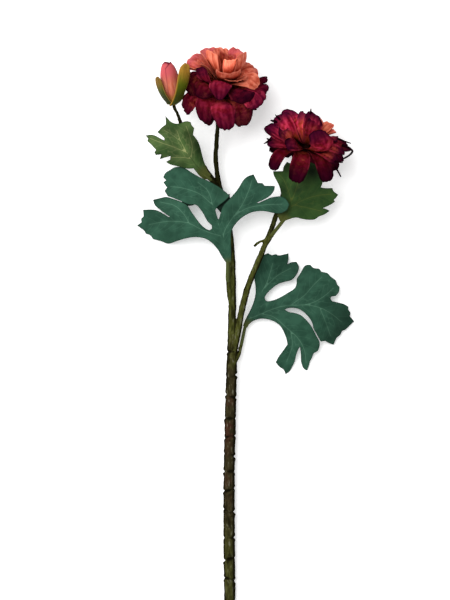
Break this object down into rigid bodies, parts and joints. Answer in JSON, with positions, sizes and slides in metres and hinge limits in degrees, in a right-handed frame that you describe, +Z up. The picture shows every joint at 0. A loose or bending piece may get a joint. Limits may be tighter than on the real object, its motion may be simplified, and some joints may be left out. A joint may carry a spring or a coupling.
{
  "type": "zinnia flower",
  "caption": "Cut zinnia spray lying flat: a knotted forked stem with double burgundy and peach blooms, a closed bud, lobed leaves and a short twig.",
  "frame": {"origin": "on the table, under the middle of the spray's bounding box, which lies flat as a cut stem does", "axes": "+Y along the stem from its cut end towards the blooms, +Z up from the table, +X to the right as seen from above"},
  "size_m": [0.2184, 0.5555, 0.0823],
  "materials": {
    "bark": "dull moulded bark",
    "blue_green": "printed leaf cloth",
    "mid_green": "printed leaf cloth",
    "olive_green": "printed leaf cloth",
    "yellow_green": "printed leaf cloth",
    "burgundy": "dyed petal cloth",
    "peach": "dyed petal cloth",
    "salmon": "dyed petal cloth"
  },
  "bodies": {
    "root": {"stem": "bark", "middle_leaf": "blue_green", "lower_leaf": "blue_green", "right_leaf": "mid_green", "upper_leaf": "olive_green", "bud_petals": "salmon", "bud_sepals": "yellow_green", "large_bloom_outer_petals": "burgundy", "large_bloom_inner_petals": "peach", "large_bloom_calyx": "yellow_green", "small_bloom_outer_petals": "burgundy", "small_bloom_inner_petals": "peach", "small_bloom_calyx": "yellow_green"}
  },
  "joints": []
}
